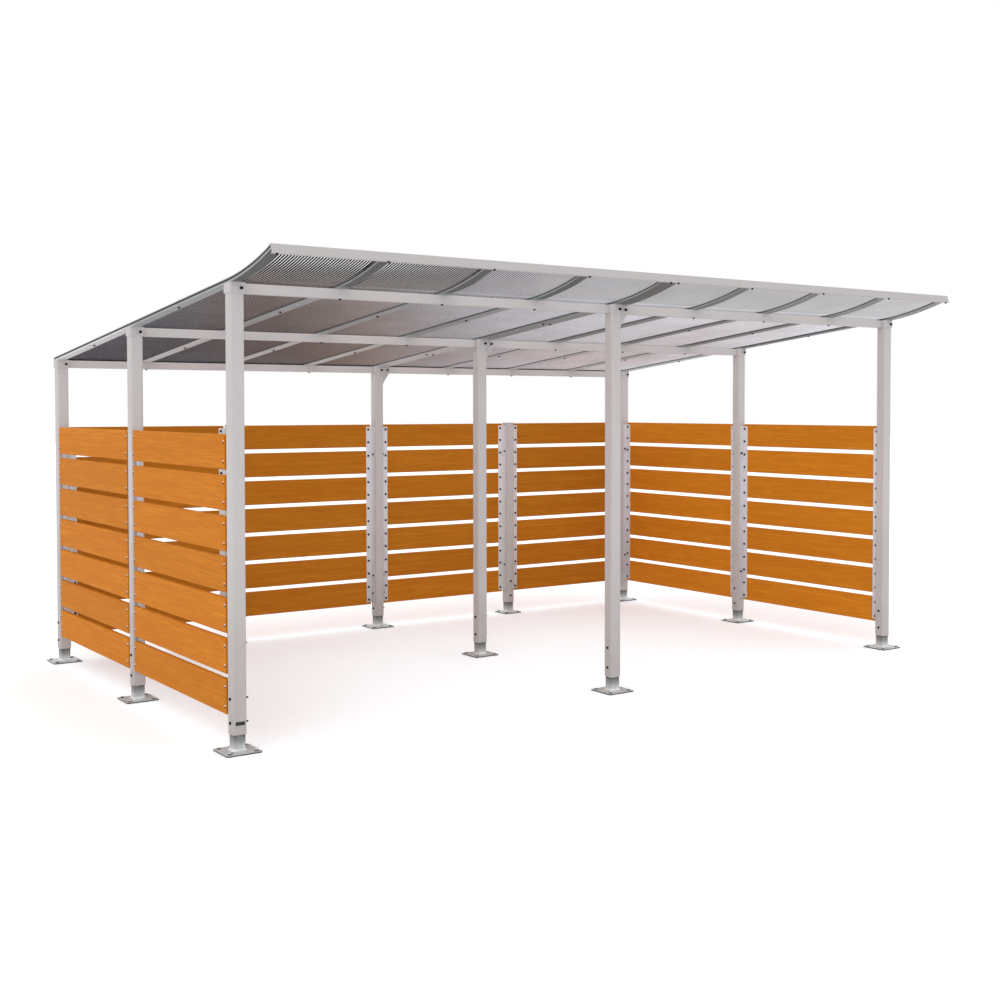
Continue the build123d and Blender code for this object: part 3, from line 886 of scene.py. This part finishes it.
# %% Bolts of the heads and the angles
HEAD_BOLT_RIGHT = 20 * MM
BEAM_BOLT_RIGHT = 90 * MM
ANGLE_BOLT_HEIGHTS = (417 * MM, 1387 * MM)
SIDE_ANGLE_BOLT_IN = 20 * MM
BACK_ANGLE_BOLT_IN = 12 * MM
ANGLE_FACE = HALF_POST + ANGLE_WALL
bm = bmesh.new()
for row in ROWS:
    middle = seat_z[row] - BEAM_BOTTOM / 2
    for column in COLUMNS:
        nut(bm, (column_x[column] + HEAD_BOLT_RIGHT, row_y[row] - HALF_HEAD, middle), TO_FRONT,
            high=9 * MM, tip=7 * MM)
    nut(bm, (column_x["centre"] + BEAM_BOLT_RIGHT, row_y[row] + BEAM_FRONT, middle), TO_FRONT,
        high=9 * MM, tip=6 * MM)
for side in SIDES:
    low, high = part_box(f"{side}_wall_brackets")
    x = low.x + SIDE_ANGLE_BOLT_IN if side == "left" else high.x - SIDE_ANGLE_BOLT_IN
    for row in ROWS:
        for z in ANGLE_BOLT_HEIGHTS:
            if row != "front":
                nut(bm, (x, row_y[row] - ANGLE_FACE, z), TO_FRONT, tip=6 * MM)
            if row != "back":
                bolt_head(bm, (x, row_y[row] + ANGLE_FACE, z), TO_BACK)
wall_x = sorted([*column_x.values(), *short_x.values()])
y = back_angles.y + BACK_ANGLE_BOLT_IN
for number, x in enumerate(wall_x):
    for z in ANGLE_BOLT_HEIGHTS:
        if number > 0:
            bolt_head(bm, (x - ANGLE_FACE, y, z), TO_LEFT)
        if number < len(wall_x) - 1:
            nut(bm, (x + ANGLE_FACE, y, z), TO_RIGHT, tip=6 * MM)
piece = finish_piece(bm, "frame_bolts", [black_steel])
print("frame bolt faces:", len(piece.data.polygons))

# %% [markdown]
# A plain dark plate, 50 by 18 mm, is stuck on the foot of the front left post.

# %% Plain plate
PLAIN_PLATE = Vector((50, 2, 18)) * MM
PLAIN_PLATE_CORNER = 3 * MM
PLAIN_PLATE_HEIGHT = 150 * MM
bm = bmesh.new()
made = bmesh.ops.create_cube(bm, size=1.0)["verts"]
bmesh.ops.scale(bm, verts=made, vec=PLAIN_PLATE)
corners = [edge for edge in bm.edges
           if abs(edge.verts[0].co.y - edge.verts[1].co.y) > PLAIN_PLATE.y / 2]
bmesh.ops.bevel(bm, geom=corners, offset=PLAIN_PLATE_CORNER, segments=3, profile=0.5,
                affect="EDGES", material=-1)
y = row_y["front"] - HALF_POST - PLAIN_PLATE.y / 2
bmesh.ops.translate(bm, verts=bm.verts, vec=(column_x["left"], y, PLAIN_PLATE_HEIGHT))
piece = finish_piece(bm, "plain_plate", [dark_plastic])
print("plain plate faces:", len(piece.data.polygons))

# %% [markdown]
# ## Bolts of the boards
# Two carriage bolts hold each end of a board to its steel angle, 51 mm above and below the middle
# of the board. They sit 12 mm from the board's end on the side walls and 24 mm on the back wall.
# Their domed heads show outside and the nuts inside.

# %% Bolts of the boards
DOME_RADIUS = 8.5 * MM
DOME_HIGH = 4 * MM
BOARD_NUT = {"across": 14 * MM, "high": 5 * MM}
BOLT_SPREAD = 51 * MM
SIDE_BOLT_FROM_END = 12 * MM
BACK_BOLT_FROM_END = 24 * MM


def dome(bm, place, out):
    """A domed head in two steps, the lower one steep and the upper one shallow."""
    rise = out * DOME_HIGH * 0.4
    screw_part(bm, Vector(place), out, DOME_RADIUS, DOME_HIGH * 0.4, sides=12, taper=0.85)
    screw_part(bm, Vector(place) + rise, out, DOME_RADIUS * 0.85, DOME_HIGH * 0.6, sides=12,
               taper=0.25)


domes = bmesh.new()
nuts = bmesh.new()
for name in panels:
    low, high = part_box(name)
    wall = name.split("_")[0]
    for middle in board_middles(low, high):
        for z in (middle - BOLT_SPREAD, middle + BOLT_SPREAD):
            if wall == "back":
                for x in (low.x + BACK_BOLT_FROM_END, high.x - BACK_BOLT_FROM_END):
                    dome(domes, (x, high.y, z), TO_BACK)
                    nut(nuts, (x, low.y - ANGLE_WALL, z), TO_FRONT, **BOARD_NUT)
            else:
                outside = low.x if wall == "left" else high.x
                inside = high.x + ANGLE_WALL if wall == "left" else low.x - ANGLE_WALL
                out = TO_LEFT if wall == "left" else TO_RIGHT
                for y in (low.y + SIDE_BOLT_FROM_END, high.y - SIDE_BOLT_FROM_END):
                    dome(domes, (outside, y, z), out)
                    nut(nuts, (inside, y, z), -out, **BOARD_NUT)
piece = finish_piece(domes, "board_bolt_heads", [dome_steel])
print("board bolt head faces:", len(piece.data.polygons))
piece = finish_piece(nuts, "board_bolt_nuts", [black_steel])
print("board bolt nut faces:", len(piece.data.polygons))

# %% [markdown]
# ## Bolts of the roof
# Each rafter is bolted to the beams and clamps the sheets between itself and its cover strip.
# Heads show underneath, and small nuts stand on the cover strips. The fascia closes the swept
# front edge, so its bolts follow its tilt.

# %% Bolts of the roof
FASCIA_TILT = SLOPE + FRONT_REACH / SWEEP_RADIUS
FASCIA_WALL = 2.5 * MM
FASCIA_BELOW = 19.2 * MM
FASCIA_ABOVE = 28.8 * MM
CLAMPS_BEHIND = (750 * MM, 2256 * MM)
LOWER_BOLT_BACK = 6 * MM
UPPER_SCREW_BACK = 22 * MM
forward = Vector((0, -math.cos(FASCIA_TILT), math.sin(FASCIA_TILT)))
upward = Vector((0, math.sin(FASCIA_TILT), math.cos(FASCIA_TILT)))
fascia_low, fascia_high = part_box("fascia_left")
roof_end = Vector((0, fascia_low.y, fascia_high.z))
roof_end.y += FASCIA_WALL * math.cos(FASCIA_TILT) + FASCIA_BELOW * math.sin(FASCIA_TILT)
roof_end.z -= FASCIA_WALL * math.sin(FASCIA_TILT) + FASCIA_ABOVE * math.cos(FASCIA_TILT)
print("tilt of the fascia in degrees:", round(math.degrees(FASCIA_TILT), 2))
bm = bmesh.new()
for side in SIDES:
    for number, x in enumerate(rafter_x[side]):
        for behind in CLAMPS_BEHIND:
            up = roof_frame(behind)[1]
            bolt_head(bm, on_roof(x, behind, 0.0), -up)
            nut(bm, on_roof(x, behind, COVER_HIGH), up, across=11 * MM, tip=8 * MM)
        tip = Vector((x, 0, 0)) + roof_end
        below = tip - forward * LOWER_BOLT_BACK - upward * FASCIA_BELOW
        bolt_head(bm, below, -upward, across=11 * MM)
        above = tip - forward * UPPER_SCREW_BACK + upward * FASCIA_ABOVE
        screw_part(bm, above, upward, radius=4 * MM, height=5 * MM, sides=8)
        if 0 < number < len(rafter_x[side]) - 1:
            for row in ROWS:
                bolt_head(bm, (x, row_y[row], seat_z[row] - BEAM_BOTTOM), DOWN)
piece = finish_piece(bm, "roof_bolts", [black_steel])
print("roof bolt faces:", len(piece.data.polygons))

# %% [markdown]
# ## Finishes on the frame
# Every part of the frame that stays in view takes one of the finishes above. The first word of
# its name tells which, apart from the angles, which are found by the word brackets.

# %% Finishes on the frame
finish_of = {
    "post": frame_paint,
    "short": frame_paint,
    "beam": frame_paint,
    "feet": zinc,
    "rafters": rafter_metal,
    "cover": cover_metal,
    "fascia": cover_metal,
    "seals": rubber,
    "back": rubber,
    "roof": sheet_under,
}
for name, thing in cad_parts.items():
    if "brackets" in name:
        finish = lightened_bracket_paint
    elif "panel" in name:
        finish = wood
    else:
        finish = finish_of[name.split("_")[0]]
    for material_slot in thing.material_slots:
        material_slot.material = finish
print("frame nodes finished:", len(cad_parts))
